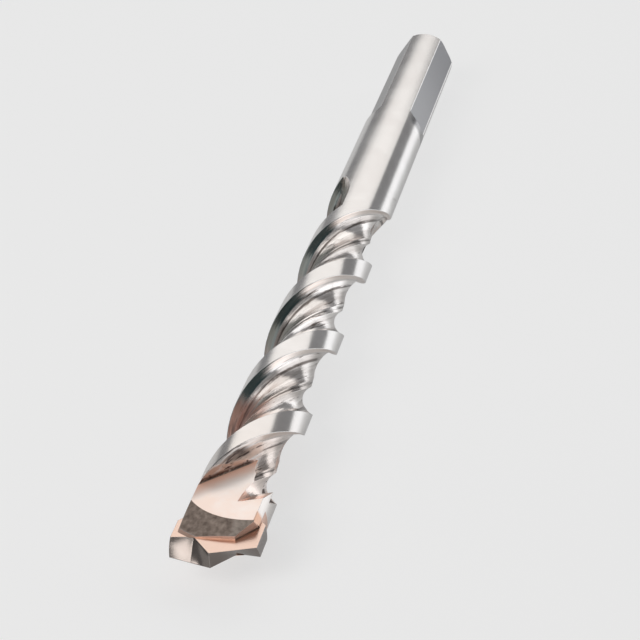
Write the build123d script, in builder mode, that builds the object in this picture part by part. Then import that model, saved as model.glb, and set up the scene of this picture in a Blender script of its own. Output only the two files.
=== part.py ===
from build123d import *

import os
from math import cos, radians, sin

# Masonry drill bit, 8 x 120 mm, lying on its side.
# X runs along the axis, zero at the shank end, the carbide point toward +X.
# Z is up, Y is across, and the carbide plate lies in the XY plane.
# The whole model is lifted at the end so that the lands rest on Z = 0.

# overall sizes
total_length = 120.2
body_d = 7.5
point_d = 8.4
body_r = body_d / 2
point_r = point_d / 2

# reach of the shapes that cut, past the metal and right through it
spare = 1.0
through = 2 * body_d

# flutes: two starts, right hand
half_lead = 16.4
first_land_x = 46.6
land_phase = 24.0
land_arc = 41.0
wall_end = 50.0
wall_end_r = 0.70 * body_r
small_groove_mid = 71.0
small_groove_r = 0.56 * body_r
rib_crest = 96.0
rib_crest_r = 0.68 * body_r
rib_end = 113.0
rib_end_r = 0.655 * body_r
big_groove_mid = 143.0
big_groove_r = 0.60 * body_r
flank_foot = 177.0
flank_foot_r = 0.76 * body_r
shank_join_x = 40.0
twist_start_x = 44.0
first_joint_x = 60.0
second_joint_x = 82.0
third_joint_x = 104.0
land_r = body_r + 0.3
fill_r = body_r + 0.2

# flute run-out at the shank: a wheel leaves each flute toward runout_turn
runout_end_x = 50.8
runout_floor = 2.2
wheel_r = 16.5
runout_turn = -26.0
shoulder_turn = 85.0
slant_turn = 70.0
shoulder_x = 52.6
shoulder_slope = 1.56

# shank: three flats and a chamfered end
flat_length = 24.5
flat_depth = 0.51
flat_turns = [23.0, 143.0, 263.0]
flat_end_r = 1.6
flat_end_sweep = 60.0
shank_chamfer = 0.35

# head, measured back from the point: cheeks, bevels and the slot for the carbide
head_round_back = 6.9
steel_end_back = 2.3
cheek_z = 1.8
cheek_back = 12.9
knee_y = -1.0
cusp_back = 6.75
cusp_y = 0.3
groove_end_slope = 0.345
groove_end_run = 2.2
groove_end_rise = 0.9
cheek_floor_z = 0.5
bevel_centre_back = 10.9
bevel_centre_y = 2.2
bevel_arc_r = 6.8
bevel_slope = 0.333
lead_cut_y = 1.9
lead_cut_slope = 1.25

# carbide plate, measured back from the point too
plate_t = 1.6
plate_foot_back = 6.8
plate_foot_w = 5.2
plate_shoulder_back = 4.8
corner_back = 1.3
bend_back = 0.6
bend_y = 2.0
heel_back = 2.17
gash_back = 2.43

# braze filling the slot round the plate
braze_gap = 0.12

# places of the head along the axis
head_round_x = total_length - head_round_back
steel_end_x = total_length - steel_end_back
cheek_x = total_length - cheek_back
cusp_x = total_length - cusp_back
bevel_centre_x = total_length - bevel_centre_back
plate_foot_x = total_length - plate_foot_back
plate_shoulder_x = total_length - plate_shoulder_back
corner_x = total_length - corner_back
bend_x = total_length - bend_back
heel_x = total_length - heel_back
gash_x = total_length - gash_back


def polar(angle, radius):
    """A point of the cross-section, its angle growing from +Y toward +Z."""
    return (radius * cos(radians(angle)), radius * sin(radians(angle)))


cross_plane = Plane(origin=(0, 0, 0), x_dir=(0, 1, 0), z_dir=(1, 0, 0))


def flute_face(x):
    """The fluted cross-section of the bit at the place x along its axis."""
    start_turn = (x - first_land_x) / half_lead * 180 - land_phase
    with BuildSketch(cross_plane.offset(x)) as section:
        with BuildLine():
            for lobe_turn in (start_turn, start_turn + 180):
                land_from = polar(lobe_turn, land_r)
                land_mid = polar(lobe_turn + land_arc / 2, land_r)
                land_to = polar(lobe_turn + land_arc, land_r)
                wall_foot = polar(lobe_turn + wall_end, wall_end_r)
                small_mid = polar(lobe_turn + small_groove_mid, small_groove_r)
                crest = polar(lobe_turn + rib_crest, rib_crest_r)
                rib_to = polar(lobe_turn + rib_end, rib_end_r)
                big_mid = polar(lobe_turn + big_groove_mid, big_groove_r)
                foot = polar(lobe_turn + flank_foot, flank_foot_r)
                next_land = polar(lobe_turn + 180, land_r)
                ThreePointArc(land_from, land_mid, land_to)
                Line(land_to, wall_foot)
                ThreePointArc(wall_foot, small_mid, crest)
                Line(crest, rib_to)
                ThreePointArc(rib_to, big_mid, foot)
                Line(foot, next_land)
        make_face()
    return section.sketch.faces()[0]


def fluted_bar(x_from, x_to):
    """A length of the twisted bar, its lands still standing proud."""
    return Solid.extrude_linear_with_rotation(
        flute_face(x_from),
        center=(x_from, 0, 0),
        normal=(x_to - x_from, 0, 0),
        angle=(x_to - x_from) / half_lead * 180,
    )


# Round shank with its flats, as far as the start of the flutes.
with BuildPart() as shank:
    with BuildSketch(cross_plane):
        Circle(body_r)
    extrude(amount=shank_join_x)
    chamfer(shank.faces().sort_by(Axis.X)[0].edges(), length=shank_chamfer)
    for flat_turn in flat_turns:
        flat_dir = Vector(0, *polar(flat_turn, 1))
        side_plane = Plane(origin=(0, 0, 0), x_dir=(1, 0, 0), z_dir=Vector(1, 0, 0).cross(flat_dir))
        with BuildSketch(side_plane):
            with BuildLine():
                flat_line = Line((-spare, body_r - flat_depth), (flat_length, body_r - flat_depth))
                flat_end = JernArc(flat_line @ 1, flat_line % 1, flat_end_r, flat_end_sweep)
                Polyline(flat_end @ 1, ((flat_end @ 1).X, body_d), (-spare, body_d), flat_line @ 0)
            make_face()
        extrude(amount=body_d, both=True, mode=Mode.SUBTRACT)

# Round shoulders that close the first turn between the shank and the first two
# lands. Each ends on a slant that stays within the width of its land.
shoulders = []
for turn in (shoulder_turn, shoulder_turn + 180):
    slant_dir = Vector(0, *polar(turn + slant_turn, 1))
    slant_plane = Plane(
        origin=(shoulder_x, 0, 0),
        x_dir=Vector(0, *polar(turn + slant_turn - 90, 1)),
        z_dir=Vector(1, 0, 0) - slant_dir * shoulder_slope,
    )
    half_plane = Plane(origin=(shank_join_x, 0, 0), x_dir=Vector(0, *polar(turn, 1)), z_dir=(1, 0, 0))
    with BuildPart() as shoulder:
        with BuildSketch(half_plane):
            Circle(fill_r)
            with Locations((-through / 2, 0)):
                Rectangle(through, 2 * through, mode=Mode.SUBTRACT)
        extrude(amount=first_joint_x - shank_join_x)
        with BuildSketch(slant_plane):
            Rectangle(2 * through, 4 * through)
        extrude(amount=2 * through, mode=Mode.SUBTRACT)
        for ramp_turn in (runout_turn, runout_turn + 180):
            ramp_dir = Vector(0, *polar(ramp_turn, 1))
            side_plane = Plane(origin=(0, 0, 0), x_dir=(1, 0, 0), z_dir=Vector(1, 0, 0).cross(ramp_dir))
            with BuildSketch(side_plane):
                with Locations((runout_end_x, runout_floor + wheel_r)):
                    Circle(wheel_r)
                with Locations((runout_end_x + through / 2, runout_floor + body_d / 2)):
                    Rectangle(through, body_d)
            extrude(amount=body_d, both=True, mode=Mode.SUBTRACT)
    shoulders.append(shoulder.part)

# First turn of the flutes.
with BuildPart() as runout:
    add(shoulders)
    add(fluted_bar(twist_start_x, first_joint_x))
    with BuildSketch(cross_plane.offset(shank_join_x)):
        Circle(body_r)
    extrude(amount=first_joint_x - shank_join_x, mode=Mode.INTERSECT)

# Middle turns, in lengths short enough to be cut cleanly to the body diameter.
middle_turns = []
for x_from, x_to in ((first_joint_x, second_joint_x), (second_joint_x, third_joint_x)):
    with BuildPart() as turn:
        add(fluted_bar(x_from, x_to))
        with BuildSketch(cross_plane.offset(x_from)):
            Circle(body_r)
        extrude(amount=x_to - x_from, mode=Mode.INTERSECT)
    middle_turns.append(turn.part)

# Filling of one cheek: it closes the wide groove at the head, and a ramp closes
# the narrow one.
with BuildPart() as cheek_fill:
    with BuildSketch(Plane.XY.offset(cheek_floor_z)):
        with BuildLine():
            Polyline(
                (cheek_x + body_d, -body_d),
                (cheek_x - knee_y, knee_y),
                (cusp_x, cusp_y),
                (cusp_x - (body_d - cusp_y) * groove_end_slope, body_d),
                (total_length, body_d),
                (total_length, -body_d),
                close=True,
            )
        make_face()
    extrude(amount=body_r)
    ramp_plane = Plane(
        origin=(cusp_x, cusp_y, cheek_z),
        x_dir=(1, groove_end_slope, 0),
        z_dir=(groove_end_slope, -1, 0),
    )
    with BuildSketch(ramp_plane):
        with BuildLine():
            Polyline(
                (-groove_end_run, -groove_end_rise),
                (0, 0),
                (spare, 0),
                (spare, -groove_end_rise),
                close=True,
            )
        make_face()
    extrude(amount=-body_d)

# Last turn and the round head, still without cheeks or slot.
with BuildPart() as head:
    add(fluted_bar(third_joint_x, total_length))
    add(cheek_fill.part)
    add(cheek_fill.part, rotation=(180, 0, 0))
    with BuildSketch(cross_plane.offset(head_round_x)):
        Circle(fill_r)
    extrude(amount=total_length - head_round_x)
    with BuildSketch(cross_plane.offset(third_joint_x)):
        Circle(body_r)
    extrude(amount=steel_end_x - third_joint_x, mode=Mode.INTERSECT)

# What is ground off the head on one side: the flat cheek, the conical bevel at
# its end and the slanting corner beside the carbide.
lead_plane = Plane(
    origin=(steel_end_x, lead_cut_y, plate_t / 2),
    x_dir=(0, 0, 1),
    z_dir=(1, lead_cut_slope, 0),
)
with BuildPart() as grinding:
    with BuildSketch(Plane.XY.offset(cheek_z)):
        with BuildLine():
            Polyline(
                (cheek_x - body_d, body_d),
                (total_length, body_d),
                (total_length, -body_d),
                (cheek_x + body_d, -body_d),
                close=True,
            )
        make_face()
    extrude(amount=body_r)
    with BuildSketch(Plane(origin=(bevel_centre_x, bevel_centre_y, 0), x_dir=(0, -1, 0), z_dir=(-1, 0, 0))):
        with BuildLine():
            Polyline(
                (bevel_arc_r, cheek_z),
                (through, cheek_z - (through - bevel_arc_r) * bevel_slope),
                (through, body_d),
                (bevel_arc_r, body_d),
                close=True,
            )
        make_face()
    revolve(axis=Axis((bevel_centre_x, bevel_centre_y, 0), (0, 0, 1)), revolution_arc=180)
    with BuildSketch(lead_plane):
        with Locations((through / 2, 0)):
            Rectangle(through, through)
    extrude(amount=body_r)

# Slot across the head, wider and deeper than the plate by the braze.
with BuildPart() as slot:
    with BuildSketch(Plane.YZ.offset(plate_foot_x - braze_gap)):
        Rectangle(through, plate_t + 2 * braze_gap)
    extrude(amount=body_d)

# Steel body before the slot is milled.
with BuildPart() as steel_blank:
    add(shank.part)
    add(runout.part)
    add(middle_turns)
    add(head.part)
    add(grinding.part, mode=Mode.SUBTRACT)
    add(grinding.part, rotation=(180, 0, 0), mode=Mode.SUBTRACT)

with BuildPart() as steel_body:
    add(steel_blank.part)
    add(slot.part, mode=Mode.SUBTRACT)

# Carbide plate. Its two broad faces have the same outline turned over, and the
# ruled end between them makes the relief behind each cutting edge.
with BuildPart() as carbide_tip:
    for side in (-1, 1):
        with BuildSketch(Plane.XY.offset(side * plate_t / 2)):
            with BuildLine():
                Polyline(
                    (plate_foot_x, -plate_foot_w / 2),
                    (plate_shoulder_x, -point_r),
                    (heel_x if side > 0 else corner_x, -point_r),
                    (gash_x if side > 0 else bend_x, -bend_y),
                    (total_length, 0),
                    (bend_x if side > 0 else gash_x, bend_y),
                    (corner_x if side > 0 else heel_x, point_r),
                    (plate_shoulder_x, point_r),
                    (plate_foot_x, plate_foot_w / 2),
                    close=True,
                )
            make_face()
    loft(ruled=True)
    with BuildSketch(cross_plane.offset(plate_foot_x)):
        Circle(point_r)
    extrude(amount=total_length - plate_foot_x, mode=Mode.INTERSECT)

# Braze: what the slot takes out of the blank, less the plate before its point
# is ground.
with BuildPart() as braze_seam:
    add(steel_blank.part)
    add(slot.part, mode=Mode.INTERSECT)
    with BuildSketch(Plane.XY):
        with BuildLine():
            Polyline(
                (plate_foot_x, -plate_foot_w / 2),
                (plate_shoulder_x, -point_r),
                (total_length, -point_r),
                (total_length, point_r),
                (plate_shoulder_x, point_r),
                (plate_foot_x, plate_foot_w / 2),
                close=True,
            )
        make_face()
    extrude(amount=plate_t / 2, both=True, mode=Mode.SUBTRACT)

# The middle of the underside of the whole bit is the origin.
lying = Location((-total_length / 2, 0, body_r))
steel_body.part.label = "steel_body"
carbide_tip.part.label = "carbide_tip"
braze_seam.part.label = "braze_seam"

os.makedirs("parts", exist_ok=True)
export_step(steel_body.part.moved(lying), "parts/steel_body.step")
export_step(carbide_tip.part.moved(lying), "parts/carbide_tip.step")
export_step(braze_seam.part.moved(lying), "parts/braze_seam.step")
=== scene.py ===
from math import cos, pi, radians, sin

import bpy
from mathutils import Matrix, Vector


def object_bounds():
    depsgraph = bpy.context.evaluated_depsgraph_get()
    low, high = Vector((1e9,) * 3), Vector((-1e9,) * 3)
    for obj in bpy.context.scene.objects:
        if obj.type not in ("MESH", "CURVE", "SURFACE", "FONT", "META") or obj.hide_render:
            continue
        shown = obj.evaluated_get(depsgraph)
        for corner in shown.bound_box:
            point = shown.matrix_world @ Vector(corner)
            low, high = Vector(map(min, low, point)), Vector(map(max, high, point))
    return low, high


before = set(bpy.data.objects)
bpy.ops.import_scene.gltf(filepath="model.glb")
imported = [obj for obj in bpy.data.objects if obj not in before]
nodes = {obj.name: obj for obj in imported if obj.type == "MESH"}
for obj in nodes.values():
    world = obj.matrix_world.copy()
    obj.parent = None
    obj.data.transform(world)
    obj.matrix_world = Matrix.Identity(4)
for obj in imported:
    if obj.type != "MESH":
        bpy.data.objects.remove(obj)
cad_box = [list(corner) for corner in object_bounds()]

# Sizes of the bit that its finishes follow, in metres. The frame gives both ends, and the
# rest are the sizes of the part's source. X runs along the bit to its point, Y across it,
# and Z up from the floor.
START_X = cad_box[0][0]
POINT_X = cad_box[1][0]
AXIS_HEIGHT = 0.00375
BODY_RADIUS = 0.00375
FLAT_END_X = START_X + 0.0245
FLUTE_START_X = START_X + 0.0440
FIRST_LAND_X = START_X + 0.0466
LAND_PHASE = radians(24)
FLUTE_LEAD = 0.0328
CHEEK_X = POINT_X - 0.0129
CHEEK_HEIGHT = 0.0018
CHEEK_TOLERANCE = 0.00002
CORNER_X = POINT_X - 0.0052
BEVEL_CENTRE_X = POINT_X - 0.0109
BEVEL_CENTRE_Y = 0.0022
BEVEL_ARC = 0.0068

# Painted shade lines that lie along the flutes: at the foot of a land's wall, on the rib, and in the
# wide groove. Each is its angle past the land's start and the sine of its half width, and
# the core is the share of that width that is fully dark.
FLUTE_LINES = ((radians(50), 0.06), (radians(106), 0.07), (radians(163), 0.09))
LINE_CORE = 0.3

# How fast the noises change: lines of the wheel on X, Y and Z, streaks along the flutes as a
# share of what they do across them, scratches as a multiple of the streaks, and the coarse
# grain of the bevel.
WHEEL_STRETCH = (9.0, 0.55, 0.55)
STREAK_STRETCH = 0.09
SCRATCH_FINENESS = 3.3
COARSE_SCALE = 2000.0

# A finish begins at the first of two places and is full at the second, in metres. Names
# with X are places along the bit, and names with SIDE are places across it. The others are
# distances: from the axis, from the cheek's border, above the cheek, or from the torch.
BELOW_LANDS = (BODY_RADIUS - 0.00003, BODY_RADIUS - 0.0001)
OUTER_WALL = (0.0030, 0.0032)
END_FACE_X = START_X + 0.0005
FLAT_X = (FLAT_END_X + 0.0016, FLAT_END_X + 0.0013)
FLAT_END_STEP_X = (FLAT_END_X, FLAT_END_X + 0.0003)
RIGHT_FLAT_SIDE = (-0.001, 0.001)
PAST_FLAT_SHADE_X = (FLAT_END_X + 0.0032, FLAT_END_X + 0.0020)
PAST_FLAT_SHADE_SIDE = (0.0024, 0.0031)
FLUTE_X = (FLUTE_START_X, FLUTE_START_X + 0.001)
# Painted shade with grime in the flutes' corners fades out toward the head between these places.
SHADE_AND_GRIME_X = (0.048, 0.042)
HEATED_X = (0.028, 0.052)
COPPER_DEPTH = (0.0034, 0.0026)
COPPER_SIDE = (0.0014, -0.0006)
NEAR_CHEEK_X = (0.041, 0.046)
NEAR_CHEEK_SIDE = (0.0017, 0.0011)
PEACH_X = (POINT_X - 0.0100, POINT_X - 0.0045)
GROOVE_END_X = (POINT_X - 0.0092, POINT_X - 0.0087)
SIDE_SCORCH_X = (POINT_X - 0.0053, POINT_X - 0.0046)
BORDER_BURN = (0.0044, 0.0012)
BORDER_FILM = (0.0052, 0.0016)
CREASE_SHADE_REACH = (0.0013, 0.0005)
CREASE_SHADE_SIDE = (0.0010, -0.0002)
FOOT_HEIGHT = (0.00075, 0.00045)
FOOT_LENGTH = (0.0020, 0.0014)
FOOT_SIDE = (0.0012, 0.0006)
RIM_WIDTH = (0.00030, 0.00010)
TORCH_PLACE = (0.0368, -0.0028, 0.0047)
TORCH_REACH = (0.0055, 0.0035)

# How far the patches and streaks move the border of a finish, in metres.
WARM_WANDER = 0.016
BORDER_WANDER = 0.0024
SCORCH_WANDER = 0.0016
FOOT_WANDER = 0.0005
TORCH_WANDER = 0.004

# How level a face lies, from 0 for upright to 1 for level, and how far one looks endwise.
CHEEK_LEVEL = 0.99
CORNER_LEVEL = (0.3, 0.1)
BEVEL_LEVEL = (0.55, 0.65)
BROAD_FACE_LEVEL = (0.93, 0.97)
ENDWISE = 0.5

# A worn edge, lightened as wear and as a painted highlight, by the cosine between the rounded and
# the flat normal, and painted shade with grime in corners, by the share of the sky that a corner sees.
EDGE_BEND = (0.995, 0.93)
SHADE_AND_GRIME_OPENING = (0.80, 0.55)

# Where a noise, which lies between 0 and 1, turns from one tone to the other.
PATCH_TONES = (0.35, 0.65)
STREAK_TONES = (0.38, 0.62)
DARK_SCRATCHES = (0.60, 0.68)
BROKEN_SHADE_AND_GRIME = (0.30, 0.50)
BROKEN_LINE = (0.36, 0.50)
BROKEN_FOOT = (0.30, 0.46)
COPPER_STREAKS = (0.62, 0.40)
NEAR_CHEEK_STREAKS = (0.42, 0.52)
NEAR_CHEEK_SCRATCHES = (0.58, 0.63)
TORCH_TONES = (0.40, 0.60)
COARSE_TONES = (0.3, 0.7)

# How strongly the slanting corners and the grooves' ends are burnt.
CORNER_BURN = 0.7
GROOVE_BURN = 0.8

# How rough ground steel is, and how much rougher each place is.
GROUND_ROUGHNESS = 0.14
ROUGHER_PLACES = (
    ("Patch", 0.10),
    ("flat", 0.18),
    ("bevel", 0.4),
    ("near cheek", 0.32),
    ("flute wall", 0.04),
)

# How thick a film of scale lies on each place, where 1 is the film on a cheek, and how much
# rougher and less metallic such a film makes the steel.
FILM_PLACES = (("torched", 1.8), ("cheek border", 3.2), ("head corner", 3.5))
FILM_ROUGHNESS = 0.11
FILM_METALLIC = -0.2

# How much the bump takes of the wheel's lines, the scratches and the coarse grain.
LINE_DEPTH = 0.35
SCRATCH_DEPTH = 4.0
COARSE_DEPTH = 9.0

# Colors of the finishes and of the painted shade and highlights. A pair is the two tones that a
# noise or a place blends between.
CLEAN_STEEL = ((0.755, 0.735, 0.72, 1), (0.81, 0.795, 0.78, 1))
FLUTE_STEEL = ((0.62, 0.575, 0.545, 1), (0.94, 0.905, 0.88, 1))
WALL_STEEL = ((0.70, 0.60, 0.54, 1), (0.93, 0.85, 0.80, 1))
NEAR_CHEEK_STEEL = ((0.80, 0.60, 0.50, 1), (1.0, 0.93, 0.89, 1))
# The flats: the one on the right is darker as painted shade, and the step at their end and the place past
# the right one are painted shade.
FLAT_STEEL = ((0.20, 0.20, 0.21, 1), (0.33, 0.33, 0.34, 1))
LEFT_FLAT_STEEL = (0.52, 0.52, 0.52, 1)
FLAT_END_SHADE = (0.16, 0.16, 0.17, 1)
FLAT_MOTTLE = ((0.86, 0.86, 0.86, 1), (1.14, 1.14, 1.14, 1))
PAST_FLAT_SHADE = (0.20, 0.20, 0.21, 1)
BEVEL_STEEL = ((0.34, 0.275, 0.235, 1), (0.62, 0.53, 0.47, 1))
# Edges lightened, partly as wear and partly as a painted highlight.
BRIGHT_EDGE = (0.92, 0.91, 0.90, 1)
SCRATCH_DIRT = (0.17, 0.135, 0.115, 1)
NEAR_CHEEK_DIRT = (0.14, 0.10, 0.09, 1)
# Painted shade with grime for inner corners.
CORNER_SHADE_AND_GRIME = (0.10, 0.085, 0.08, 1)
# Painted shade for the lines along the flutes.
LINE_SHADE = (0.08, 0.06, 0.05, 1)
# Painted shade in the crease along the cheek's border.
CREASE_SHADE = (0.10, 0.07, 0.06, 1)
# Painted shade at the foot of the wall above a cheek.
WALL_FOOT_SHADE = (0.12, 0.08, 0.065, 1)
NO_TINT = (1.0, 1.0, 1.0, 1)
WARM_LANDS = (1.0, 0.965, 0.94, 1)
WARM_FLUTES = (1.0, 0.91, 0.86, 1)
COPPER_BROWN = (0.66, 0.32, 0.20, 1)
CHEEK_PEACH = ((1.0, 0.92, 0.87, 1), (1.0, 0.83, 0.74, 1))
BURNT_ORANGE = (0.92, 0.55, 0.41, 1)
SIDE_SCORCH = (0.66, 0.40, 0.28, 1)
TORCH_BROWN = ((0.11, 0.04, 0.03, 1), (0.50, 0.25, 0.19, 1))
BARE_CARBIDE = ((0.20, 0.17, 0.155, 1), (0.30, 0.27, 0.25, 1))
COPPERED_CARBIDE = ((0.76, 0.54, 0.44, 1), (0.85, 0.66, 0.56, 1))
# Carbide edges lightened, partly as wear and partly as a painted highlight.
CARBIDE_EDGE = (0.75, 0.70, 0.66, 1)
BRAZE_COPPER = ((0.55, 0.36, 0.28, 1), (0.84, 0.60, 0.50, 1))

# The floor's deeper shadow toward the point, and, in what the metal mirrors, painted shade near the bit
# and on the camera's left, with a paler far side.
DEEP_SHADOW_X = (0.010, 0.060)
FAR_FLOOR_SIDE = (0.005, 0.014)
FAR_FLOOR = (0.92, 0.93, 0.95, 1)

# The room, where heights run from 0 for level to 1 for straight up. The card's sides are
# angles from +X toward +Y.
ROOM_GREY = (0.24, 0.24, 0.245, 1)
OVERHEAD_GREY = (0.21, 0.245, 0.245, 1)
CARD_BLACK = (0.015, 0.03, 0.032, 1)
CARD_SIDES = ((radians(45), radians(60)), (radians(118), radians(103)))
CARD_FOOT = (0.05, 0.25)
CARD_TOP = (0.99, 0.93)
OVERHEAD = (0.85, 0.96)


def link(tree, source, target):
    tree.links.new(source, target)


def fill(tree, socket, value):
    """Link a socket to another, or set it to a plain value."""
    if isinstance(value, bpy.types.NodeSocket):
        link(tree, value, socket)
    else:
        socket.default_value = value


def add_node(tree, kind, inputs=None, **settings):
    """A node of this kind with its settings made and its inputs filled."""
    made = tree.nodes.new(kind)
    for name, value in settings.items():
        setattr(made, name, value)
    for name, value in (inputs or {}).items():
        fill(tree, made.inputs[name], value)
    return made


def math_node(tree, operation, first, second=0.0, third=0.0, clamp=False):
    made = add_node(tree, "ShaderNodeMath", {0: first, 1: second, 2: third}, operation=operation)
    made.use_clamp = clamp
    return made.outputs[0]


def product(tree, first, *others):
    """All values multiplied, such as masks that must hold together."""
    for value in others:
        first = math_node(tree, "MULTIPLY", first, value)
    return first


def raised(tree, base, value, share):
    """The base with a share of the value added to it."""
    return math_node(tree, "MULTIPLY_ADD", value, share, base)


def hypotenuse(tree, first, second):
    squared = math_node(tree, "MULTIPLY_ADD", first, first, math_node(tree, "POWER", second, 2.0))
    return math_node(tree, "SQRT", squared)


def ramp_between(tree, value, start, full, smooth=True):
    """0 at the start and 1 where it is full, whichever of the two is higher."""
    made = add_node(
        tree,
        "ShaderNodeMapRange",
        {"Value": value, "From Min": start, "From Max": full},
        interpolation_type="SMOOTHSTEP" if smooth else "LINEAR",
    )
    return made.outputs["Result"]


def mix_color(tree, factor, first, second, blend="MIX"):
    made = add_node(tree, "ShaderNodeMix", data_type="RGBA", blend_type=blend)
    for index, value in ((0, factor), (6, first), (7, second)):
        fill(tree, made.inputs[index], value)
    return made.outputs[2]


def lay_over(tree, color, mask, finish, strength=1.0):
    """The color with a finish over it where the mask is 1."""
    if strength < 1.0:
        mask = product(tree, mask, strength)
    return mix_color(tree, mask, color, finish)


def noise(tree, place, scale, detail, roughness):
    inputs = {"Vector": place, "Scale": scale, "Detail": detail, "Roughness": roughness}
    return add_node(tree, "ShaderNodeTexNoise", inputs).outputs["Fac"]


def split(tree, vector):
    """The X, Y and Z of a vector."""
    return add_node(tree, "ShaderNodeSeparateXYZ", {0: vector}).outputs


def object_place(tree):
    return add_node(tree, "ShaderNodeTexCoord").outputs["Object"]


def new_group(name, **inputs):
    """A node group with these inputs, and the sockets that bring them in."""
    group = bpy.data.node_groups.new(name, "ShaderNodeTree")
    for input_name, value in inputs.items():
        socket = group.interface.new_socket(input_name, in_out="INPUT", socket_type="NodeSocketFloat")
        socket.default_value = value
    return group, group.nodes.new("NodeGroupInput").outputs


def put_out(group, results):
    """Give the group an output for each result, by its name."""
    for name in results:
        kind = "NodeSocketVector" if name == "Normal" else "NodeSocketFloat"
        group.interface.new_socket(name, in_out="OUTPUT", socket_type=kind)
    end = group.nodes.new("NodeGroupOutput")
    for name, source in results.items():
        link(group, source, end.inputs[name])
    return group


def wheel_marks():
    """Fine grinding lines round the axis, and patches that took the wheel more or less."""
    group, given = new_group("wheel marks", Lines=900.0, Patches=220.0)
    place = object_place(group)
    stretched = add_node(group, "ShaderNodeMapping", {"Vector": place, "Scale": WHEEL_STRETCH})
    results = {
        "Line": noise(group, stretched.outputs[0], given["Lines"], detail=3.0, roughness=0.6),
        "Patch": noise(group, place, given["Patches"], detail=4.0, roughness=0.6),
    }
    return put_out(group, results)


def flute_lines(group, unwound):
    """Mask of the painted shade lines, from the angle round the axis with the flutes unwound."""
    land_turn = -LAND_PHASE - 2 * pi * FIRST_LAND_X / FLUTE_LEAD
    lines = 0.0
    for line_turn, half_width in FLUTE_LINES:
        turned = math_node(group, "SUBTRACT", unwound, land_turn + line_turn)
        away = math_node(group, "ABSOLUTE", math_node(group, "SINE", turned))
        line = ramp_between(group, away, half_width, LINE_CORE * half_width)
        lines = math_node(group, "MAXIMUM", line, lines)
    return lines


def flute_streaks():
    """Streaks, finer scratches and painted shade lines that run along the twisted flutes, and the
    distance out from the axis."""
    group, given = new_group("flute streaks", Scale=800.0)
    place = split(group, object_place(group))
    height = math_node(group, "SUBTRACT", place[2], AXIS_HEIGHT)
    out = hypotenuse(group, height, place[1])
    turn = math_node(group, "ARCTAN2", height, place[1])
    unwound = math_node(group, "MULTIPLY_ADD", place[0], -2 * pi / FLUTE_LEAD, turn)
    straightened = add_node(
        group,
        "ShaderNodeCombineXYZ",
        {
            0: product(group, math_node(group, "COSINE", unwound), out),
            1: product(group, math_node(group, "SINE", unwound), out),
            2: product(group, place[0], STREAK_STRETCH),
        },
    ).outputs[0]
    finer = product(group, given["Scale"], SCRATCH_FINENESS)
    results = {
        "Streak": noise(group, straightened, given["Scale"], detail=4.0, roughness=0.6),
        "Scratch": noise(group, straightened, finer, detail=3.0, roughness=0.7),
        "Out": out,
        "Dark Lines": flute_lines(group, unwound),
    }
    return put_out(group, results)


def past_bevel(group, along, across):
    """How far outside the bevel's inner arc a point lies. Before the arc's centre it is
    measured straight to the side."""
    bevel_x = math_node(group, "MAXIMUM", math_node(group, "SUBTRACT", along, BEVEL_CENTRE_X), 0.0)
    bevel_y = math_node(group, "SUBTRACT", across, BEVEL_CENTRE_Y)
    bevel_y = product(group, bevel_y, math_node(group, "GREATER_THAN", bevel_x, 0.0))
    return math_node(group, "SUBTRACT", hypotenuse(group, bevel_x, bevel_y), BEVEL_ARC)


def head_place():
    """Places on the bit and at its head. Along is X and Side is Y, and Across is Y turned to
    the same side of both halves. Level and Endwise say how far a face looks up or along.
    The rest are a mask of the flat cheeks, the height above them, the distance past their
    slanting border, and that past the bevel's inner arc."""
    group = new_group("place at the head")[0]
    texture = add_node(group, "ShaderNodeTexCoord").outputs
    place = split(group, texture["Object"])
    facing = split(group, texture["Normal"])
    height = math_node(group, "SUBTRACT", place[2], AXIS_HEIGHT)
    across = product(group, place[1], math_node(group, "SIGN", height))
    level = math_node(group, "ABSOLUTE", facing[2])
    above_cheek = math_node(group, "SUBTRACT", math_node(group, "ABSOLUTE", height), CHEEK_HEIGHT)
    at_cheek = math_node(group, "LESS_THAN", math_node(group, "ABSOLUTE", above_cheek), CHEEK_TOLERANCE)
    results = {
        "Along": place[0],
        "Past Bevel": past_bevel(group, place[0], across),
        "Level": level,
        "Cheek": product(group, at_cheek, math_node(group, "GREATER_THAN", level, CHEEK_LEVEL)),
        "Cheek Border": math_node(group, "SUBTRACT", math_node(group, "ADD", place[0], across), CHEEK_X),
        "Above Cheek": above_cheek,
        "Across": across,
        "Side": place[1],
        "Endwise": math_node(group, "ABSOLUTE", facing[0]),
    }
    return put_out(group, results)


def worn_edge():
    """Sharp edges a little rounded, and a mask that is 1 along them."""
    group, given = new_group("worn edge", Radius=0.0001)
    rounded = add_node(group, "ShaderNodeBevel", {"Radius": given["Radius"]}, samples=6).outputs[0]
    flat = add_node(group, "ShaderNodeNewGeometry").outputs["Normal"]
    same = add_node(group, "ShaderNodeVectorMath", {0: rounded, 1: flat}, operation="DOT_PRODUCT")
    edge = ramp_between(group, same.outputs["Value"], *EDGE_BEND)
    return put_out(group, {"Edge": edge, "Normal": rounded})


def corner_shade_and_grime():
    """Painted shade in inner corners, darker where a corner sees less of the sky, which also stands for
    grime there.
    """
    group, given = new_group("corner shade and grime", Reach=0.0005)
    open_share = add_node(group, "ShaderNodeAmbientOcclusion", {"Distance": given["Reach"]}, samples=6)
    return put_out(group, {"Shade And Grime": ramp_between(group, open_share.outputs["AO"], *SHADE_AND_GRIME_OPENING)})


groups = {
    "shade_and_grime": corner_shade_and_grime(),
    "marks": wheel_marks(),
    "streaks": flute_streaks(),
    "head": head_place(),
    "edge": worn_edge(),
}


def use_group(tree, name, **values):
    made = tree.nodes.new("ShaderNodeGroup")
    made.node_tree = groups[name]
    for socket_name, value in values.items():
        made.inputs[socket_name].default_value = value
    return dict(made.outputs.items())


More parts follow.
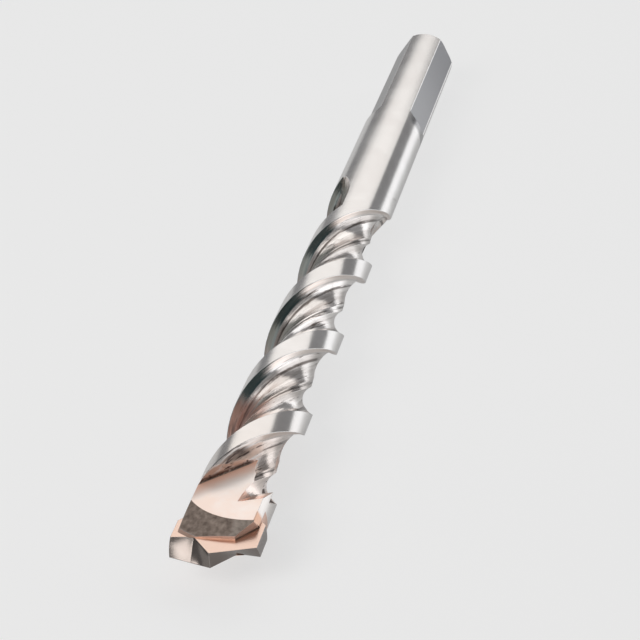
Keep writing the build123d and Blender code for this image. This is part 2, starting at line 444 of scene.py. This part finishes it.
def start_material(name):
    """A metal material, as its node tree and its shader."""
    material = bpy.data.materials.new(name)
    material.use_nodes = True
    shader = material.node_tree.nodes["Principled BSDF"]
    shader.inputs["Metallic"].default_value = 1.0
    return material, material.node_tree, shader


def steel_places(tree):
    """The steel's measures, noises and masks by name. Names in capitals come from the groups."""
    at = {
        **use_group(tree, "head"),
        **use_group(tree, "marks"),
        **use_group(tree, "streaks"),
        **use_group(tree, "edge", Radius=0.00007),
        **use_group(tree, "shade_and_grime"),
    }
    at["below lands"] = ramp_between(tree, at["Out"], *BELOW_LANDS)

    flute_or_cheek = product(tree, at["below lands"], ramp_between(tree, at["Along"], *FLUTE_X))
    at["flute"] = math_node(tree, "SUBTRACT", flute_or_cheek, at["Cheek"], clamp=True)
    at["flute wall"] = product(tree, at["flute"], ramp_between(tree, at["Out"], *OUTER_WALL))

    by_start = math_node(tree, "LESS_THAN", at["Along"], END_FACE_X)
    end_face = product(tree, by_start, math_node(tree, "GREATER_THAN", at["Endwise"], ENDWISE))
    flat_or_end = product(tree, at["below lands"], ramp_between(tree, at["Along"], *FLAT_X))
    at["flat"] = math_node(tree, "SUBTRACT", flat_or_end, end_face, clamp=True)

    past_corner = math_node(tree, "GREATER_THAN", at["Along"], CORNER_X)
    steep = ramp_between(tree, at["Level"], *CORNER_LEVEL)
    at["head corner"] = product(tree, past_corner, product(tree, at["below lands"], steep))

    past_arc = math_node(tree, "GREATER_THAN", at["Past Bevel"], 0.0)
    at["bevel"] = product(tree, past_arc, ramp_between(tree, at["Level"], *BEVEL_LEVEL))
    at["coarse"] = noise(tree, object_place(tree), COARSE_SCALE, detail=5.0, roughness=0.5)
    return at


def heated_places(tree, at):
    """More masks, of the places that the brazing and the torch marked."""
    wander = raised(tree, -WARM_WANDER / 2, at["Patch"], WARM_WANDER)
    at["warmed"] = math_node(tree, "ADD", at["Along"], wander)
    at["ragged border"] = raised(tree, at["Cheek Border"], at["Patch"], BORDER_WANDER)
    at["near cheek"] = product(
        tree,
        ramp_between(tree, at["Along"], *NEAR_CHEEK_X),
        at["flute"],
        ramp_between(tree, at["Across"], *NEAR_CHEEK_SIDE),
    )
    to_torch = {0: object_place(tree), 1: TORCH_PLACE}
    distance = add_node(tree, "ShaderNodeVectorMath", to_torch, operation="DISTANCE").outputs["Value"]
    distance = raised(tree, distance, at["Streak"], TORCH_WANDER)
    at["torched"] = product(tree, ramp_between(tree, distance, *TORCH_REACH), at["flute"])
    by_border = ramp_between(tree, at["ragged border"], *BORDER_FILM)
    at["cheek border"] = product(tree, by_border, at["Cheek"])


def ground_metal(tree, at):
    """Clean ground metal, with streaks and dark scratches in the flutes."""
    clean = mix_color(tree, ramp_between(tree, at["Patch"], *PATCH_TONES), *CLEAN_STEEL)
    streak_tone = ramp_between(tree, at["Streak"], *STREAK_TONES)
    fluted = mix_color(tree, streak_tone, *FLUTE_STEEL)
    fluted = lay_over(tree, fluted, ramp_between(tree, at["Scratch"], *DARK_SCRATCHES), SCRATCH_DIRT)
    fluted = lay_over(tree, fluted, at["flute wall"], mix_color(tree, streak_tone, *WALL_STEEL))
    return mix_color(tree, at["flute"], clean, fluted)


def flute_shade_and_grime(tree, at, color):
    """Painted shade with grime in the flutes' inner corners, and painted shade lines along the flutes."""
    broken = ramp_between(tree, at["Scratch"], *BROKEN_SHADE_AND_GRIME)
    before_head = ramp_between(tree, at["Along"], *SHADE_AND_GRIME_X)
    # Painted shade with grime in the flutes' inner corners, broken by scratches and gone at the head.
    shade_and_grime_mask = product(tree, at["Shade And Grime"], broken, at["flute"], before_head)
    color = lay_over(tree, color, shade_and_grime_mask, CORNER_SHADE_AND_GRIME)
    # Painted shade lines along the flutes.
    lines = product(tree, at["Dark Lines"], ramp_between(tree, at["Scratch"], *BROKEN_LINE), at["flute"])
    return lay_over(tree, color, lines, LINE_SHADE, strength=0.85)


def shank_flats(tree, at, color):
    """Grey mottled flats, the one on the right painted darker as shade, with painted shade on the step at
    their end and past the end of the one on the right.
    """
    tone = mix_color(tree, ramp_between(tree, at["Along"], START_X, FLAT_END_X), *FLAT_STEEL)
    # The flat on the right is painted darker than the one on the left, as painted shade.
    on_right = ramp_between(tree, at["Side"], *RIGHT_FLAT_SIDE)
    tone = mix_color(tree, on_right, LEFT_FLAT_STEEL, tone)
    tone = mix_color(tree, 1.0, tone, mix_color(tree, at["Patch"], *FLAT_MOTTLE), blend="MULTIPLY")
    # Painted shade on the step at the flats' end.
    past_end = ramp_between(tree, at["Along"], *FLAT_END_STEP_X)
    tone = lay_over(tree, tone, past_end, FLAT_END_SHADE)
    color = lay_over(tree, color, at["flat"], tone)
    # Painted shade past the end of the flat on the right.
    past_flat_shade = product(
        tree,
        ramp_between(tree, at["Along"], *PAST_FLAT_SHADE_X),
        past_end,
        ramp_between(tree, at["Side"], *PAST_FLAT_SHADE_SIDE),
    )
    return lay_over(tree, color, past_flat_shade, PAST_FLAT_SHADE, strength=0.8)


def brazing_heat(tree, at, color):
    """A warm tint that grows toward the head, and copper brown down in the flutes before it."""
    heat = ramp_between(tree, at["warmed"], *HEATED_X)
    warm = mix_color(tree, at["flute"], WARM_LANDS, WARM_FLUTES)
    color = mix_color(tree, 1.0, color, mix_color(tree, heat, NO_TINT, warm), blend="MULTIPLY")
    copper = product(
        tree,
        heat,
        ramp_between(tree, at["Out"], *COPPER_DEPTH),
        ramp_between(tree, at["Streak"], *COPPER_STREAKS),
        ramp_between(tree, at["Across"], *COPPER_SIDE),
    )
    return lay_over(tree, color, copper, COPPER_BROWN, strength=0.75)


def peach_cheeks(tree, at, color):
    """Peach on the cheeks, and pale streaks with dark scratches in the flutes before them."""
    toward_bevel = ramp_between(tree, at["warmed"], *PEACH_X)
    color = lay_over(tree, color, at["Cheek"], mix_color(tree, toward_bevel, *CHEEK_PEACH))
    near = mix_color(tree, ramp_between(tree, at["Streak"], *NEAR_CHEEK_STREAKS), *NEAR_CHEEK_STEEL)
    near = lay_over(tree, near, ramp_between(tree, at["Scratch"], *NEAR_CHEEK_SCRATCHES), NEAR_CHEEK_DIRT)
    return lay_over(tree, color, at["near cheek"], near)


def burnt_places(tree, at, color):
    """Orange burns: by the cheeks' border, on the slanting corners and where a groove ends."""
    border = product(tree, ramp_between(tree, at["ragged border"], *BORDER_BURN), at["Cheek"])
    burnt = math_node(tree, "MAXIMUM", border, product(tree, at["head corner"], CORNER_BURN))
    groove_end = product(tree, ramp_between(tree, at["Along"], *GROOVE_END_X), at["flute"], GROOVE_BURN)
    return lay_over(tree, color, math_node(tree, "MAXIMUM", burnt, groove_end), BURNT_ORANGE)


def crease_shade_line(tree, at, color):
    """Painted shade in the flute along the crease at the cheek's border."""
    by_border = ramp_between(tree, math_node(tree, "ABSOLUTE", at["ragged border"]), *CREASE_SHADE_REACH)
    crease_shade = product(
        tree,
        by_border,
        at["flute"],
        ramp_between(tree, at["Scratch"], *BROKEN_LINE),
        ramp_between(tree, at["Across"], *CREASE_SHADE_SIDE),
    )
    return lay_over(tree, color, crease_shade, CREASE_SHADE)


def wall_foot_shade(tree, at, color):
    """Painted shade low on the flute's wall above a cheek, where it meets the cheek, and on the cheek's
    rim before it.
    """
    border = math_node(tree, "ABSOLUTE", at["Cheek Border"])
    low = ramp_between(tree, raised(tree, at["Above Cheek"], at["Patch"], FOOT_WANDER), *FOOT_HEIGHT)
    on_wall = product(tree, low, at["flute"], ramp_between(tree, border, *FOOT_LENGTH))
    on_rim = product(tree, ramp_between(tree, border, *RIM_WIDTH), at["Cheek"])
    foot = product(
        tree,
        math_node(tree, "MAXIMUM", on_wall, on_rim),
        ramp_between(tree, at["Scratch"], *BROKEN_FOOT),
        ramp_between(tree, at["Across"], *FOOT_SIDE),
    )
    return lay_over(tree, color, foot, WALL_FOOT_SHADE, strength=0.85)


def scorched_sides(tree, at, color):
    """The round side of the head, scorched beside the carbide."""
    ragged = raised(tree, at["Along"], at["Patch"], SCORCH_WANDER)
    heat = ramp_between(tree, ragged, *SIDE_SCORCH_X)
    on_round = math_node(tree, "SUBTRACT", 1.0, at["below lands"], clamp=True)
    return lay_over(tree, color, product(tree, heat, on_round), SIDE_SCORCH)


def torch_scale(tree, at, color):
    """One turn of the flutes has a patch of brown scale left by the torch."""
    brown = mix_color(tree, ramp_between(tree, at["Scratch"], *TORCH_TONES), *TORCH_BROWN)
    return lay_over(tree, color, at["torched"], brown, strength=0.85)


def rough_bevel(tree, at, color):
    """The bevel beside the carbide, left rough by a coarse wheel."""
    coarse_tone = ramp_between(tree, at["coarse"], *COARSE_TONES, smooth=False)
    return lay_over(tree, color, at["bevel"], mix_color(tree, coarse_tone, *BEVEL_STEEL))


def steel_gloss(tree, at, shader):
    """Roughness, and less of a metal's mirror where scale and scorching lie on the steel."""
    roughness = GROUND_ROUGHNESS
    for place, rougher in ROUGHER_PLACES:
        roughness = raised(tree, roughness, at[place], rougher)
    film = at["Cheek"]
    for place, thickness in FILM_PLACES:
        film = raised(tree, film, at[place], thickness)
    link(tree, raised(tree, roughness, film, FILM_ROUGHNESS), shader.inputs["Roughness"])
    link(tree, raised(tree, 1.0, film, FILM_METALLIC), shader.inputs["Metallic"])


def add_bump(tree, shader, height, strength, distance, normal=None):
    inputs = {"Height": height, "Strength": strength, "Distance": distance}
    if normal is not None:
        inputs["Normal"] = normal
    bump = add_node(tree, "ShaderNodeBump", inputs)
    link(tree, bump.outputs[0], shader.inputs["Normal"])


def body_steel():
    """Ground tool steel, clean on the shank and marked by the brazing at the head. Painted shade lies in
    its corners and creases and on its flats, and a painted highlight partly lightens its edges.
    """
    material, tree, shader = start_material("ground tool steel")
    at = steel_places(tree)
    heated_places(tree, at)
    color = ground_metal(tree, at)
    for finish in (
        flute_shade_and_grime,
        shank_flats,
        brazing_heat,
        peach_cheeks,
        burnt_places,
        crease_shade_line,
        wall_foot_shade,
        scorched_sides,
        torch_scale,
        rough_bevel,
    ):
        color = finish(tree, at, color)
    # Edges lightened, partly as wear and partly as a painted highlight.
    color = lay_over(tree, color, at["Edge"], BRIGHT_EDGE, strength=0.35)
    link(tree, color, shader.inputs["Base Color"])
    steel_gloss(tree, at, shader)
    scratches = product(tree, at["Scratch"], at["flute"])
    depth = raised(tree, product(tree, at["Line"], LINE_DEPTH), scratches, SCRATCH_DEPTH)
    depth = raised(tree, depth, product(tree, at["coarse"], at["bevel"]), COARSE_DEPTH)
    add_bump(tree, shader, depth, strength=0.3, distance=0.00002, normal=at["Normal"])
    return material


def plate_carbide():
    """Sintered carbide, dark where it was ground and coppery on its broad faces."""
    material, tree, shader = start_material("sintered carbide")
    head = use_group(tree, "head")
    marks = use_group(tree, "marks", Lines=1400.0, Patches=500.0)
    edge = use_group(tree, "edge", Radius=0.00006)
    on_broad = ramp_between(tree, head["Level"], *BROAD_FACE_LEVEL)
    bare = mix_color(tree, marks["Patch"], *BARE_CARBIDE)
    coppered = mix_color(tree, marks["Patch"], *COPPERED_CARBIDE)
    color = mix_color(tree, on_broad, bare, coppered)
    # Edges lightened, partly as wear and partly as a painted highlight on the chisel ridge.
    color = lay_over(tree, color, edge["Edge"], CARBIDE_EDGE, strength=0.7)
    link(tree, color, shader.inputs["Base Color"])
    link(tree, raised(tree, 0.17, marks["Patch"], 0.14), shader.inputs["Roughness"])
    add_bump(tree, shader, marks["Line"], strength=0.2, distance=0.00002, normal=edge["Normal"])
    return material


def seam_braze():
    """Copper braze, lumpy and dull."""
    material, tree, shader = start_material("copper braze")
    marks = use_group(tree, "marks", Lines=300.0, Patches=900.0)
    link(tree, mix_color(tree, marks["Patch"], *BRAZE_COPPER), shader.inputs["Base Color"])
    link(tree, raised(tree, 0.25, marks["Patch"], 0.3), shader.inputs["Roughness"])
    add_bump(tree, shader, marks["Patch"], strength=0.4, distance=0.00004)
    return material


def dress(name, material):
    node = nodes[name]
    node.data.materials.clear()
    node.data.materials.append(material)


dress("steel_body", body_steel())
dress("carbide_tip", plate_carbide())
dress("braze_seam", seam_braze())


def grey(level):
    return (level, level, level, 1)


def pale_floor():
    """Matt pale floor with light of its own, so that shadows on it stay soft. It has less of
    that light toward the bit's point, where the shadow is deeper. In what the metal mirrors,
    the floor is painted dark as shade near the bit and on the camera's left, and pale beyond on the
    right."""
    material = bpy.data.materials.new("pale floor")
    material.use_nodes = True
    tree = material.node_tree
    shader = tree.nodes["Principled BSDF"]
    shader.inputs["Roughness"].default_value = 1.0
    shader.inputs["Specular IOR Level"].default_value = 0.0
    path = add_node(tree, "ShaderNodeLightPath").outputs
    place = split(tree, object_place(tree))
    by_tip = ramp_between(tree, place[0], *DEEP_SHADOW_X)
    on_far_side = ramp_between(tree, place[1], *FAR_FLOOR_SIDE)
    # In what the metal mirrors, the floor is painted dark as shade near the bit and on the camera's left.
    mirrored = mix_color(tree, on_far_side, grey(0.32), FAR_FLOOR)
    own = mix_color(tree, by_tip, grey(0.70), grey(0.61))
    own = mix_color(tree, path["Is Glossy Ray"], own, mirrored)
    base = mix_color(tree, by_tip, grey(0.20), grey(0.36))
    base = mix_color(tree, path["Is Glossy Ray"], base, grey(0.47))
    link(tree, base, shader.inputs["Base Color"])
    link(tree, own, shader.inputs["Emission Color"])
    seen = math_node(tree, "MAXIMUM", path["Is Camera Ray"], path["Is Glossy Ray"])
    link(tree, seen, shader.inputs["Emission Strength"])
    return material


bpy.ops.mesh.primitive_plane_add(size=3, location=(0, 0, 0))
floor = bpy.context.object
floor.name = "floor"
floor.data.materials.append(pale_floor())


def toward(azimuth, elevation, distance):
    """A place seen from the bit at these angles, azimuth growing from +X toward +Y."""
    along_floor = distance * cos(radians(elevation))
    return (
        along_floor * cos(radians(azimuth)),
        along_floor * sin(radians(azimuth)),
        distance * sin(radians(elevation)),
    )


def softbox(name, place, width, height, level, color):
    """Flat lamp that looks at the bit. Level is how bright its face is, where 1 is white."""
    lamp = bpy.data.lights.new(name, "AREA")
    lamp.shape = "RECTANGLE"
    lamp.size = width
    lamp.size_y = height
    lamp.energy = level * pi * width * height
    lamp.color = color
    made = bpy.data.objects.new(name, lamp)
    made.location = place
    made.rotation_euler = (-Vector(place)).to_track_quat("-Z", "Y").to_euler()
    bpy.context.collection.objects.link(made)


# A wide softbox behind the shank, a narrow one on the right, and a small one left of the
# camera for the carbide's relief.
softbox(
    "rear softbox",
    toward(azimuth=187, elevation=37, distance=0.9),
    width=0.95,
    height=0.57,
    level=0.89,
    color=(1.0, 0.97, 0.94),
)
softbox(
    "side softbox",
    toward(azimuth=120, elevation=25, distance=0.9),
    width=0.33,
    height=0.8,
    level=1.1,
    color=(0.97, 0.98, 1.0),
)
softbox(
    "front softbox",
    toward(azimuth=-37, elevation=40, distance=0.7),
    width=0.40,
    height=0.37,
    level=3.5,
    color=(1.0, 0.97, 0.95),
)


def studio_room():
    """Grey room round the bit, a little greener overhead, with a nearly black card on the
    right. The camera itself sees it pale."""
    world = bpy.data.worlds.new("studio")
    bpy.context.scene.world = world
    world.use_nodes = True
    tree = world.node_tree
    path = add_node(tree, "ShaderNodeLightPath").outputs
    way = split(tree, add_node(tree, "ShaderNodeTexCoord").outputs["Generated"])
    azimuth = math_node(tree, "ARCTAN2", way[1], way[0])
    card = product(
        tree,
        ramp_between(tree, azimuth, *CARD_SIDES[0]),
        ramp_between(tree, azimuth, *CARD_SIDES[1]),
        ramp_between(tree, way[2], *CARD_FOOT),
        ramp_between(tree, way[2], *CARD_TOP),
    )
    room = mix_color(tree, ramp_between(tree, way[2], *OVERHEAD), ROOM_GREY, OVERHEAD_GREY)
    room = mix_color(tree, card, room, CARD_BLACK)
    seen = mix_color(tree, path["Is Camera Ray"], room, grey(0.8))
    link(tree, seen, tree.nodes["Background"].inputs["Color"])


def photo_camera():
    """Camera where the photographer stood, with its lens and tilt fitted to the photo."""
    camera_data = bpy.data.cameras.new("camera")
    camera_data.lens = 123.75
    camera_data.sensor_width = 36
    camera_data.clip_start = 0.01
    camera_data.clip_end = 10
    camera = bpy.data.objects.new("camera", camera_data)
    bpy.context.collection.objects.link(camera)
    camera.location = (0.215983, 0.049883, 0.113972)
    camera.rotation_euler = (radians(61.909), radians(3.934), radians(101.620))
    bpy.context.scene.camera = camera


studio_room()
photo_camera()
bpy.context.scene.view_settings.view_transform = "Standard"
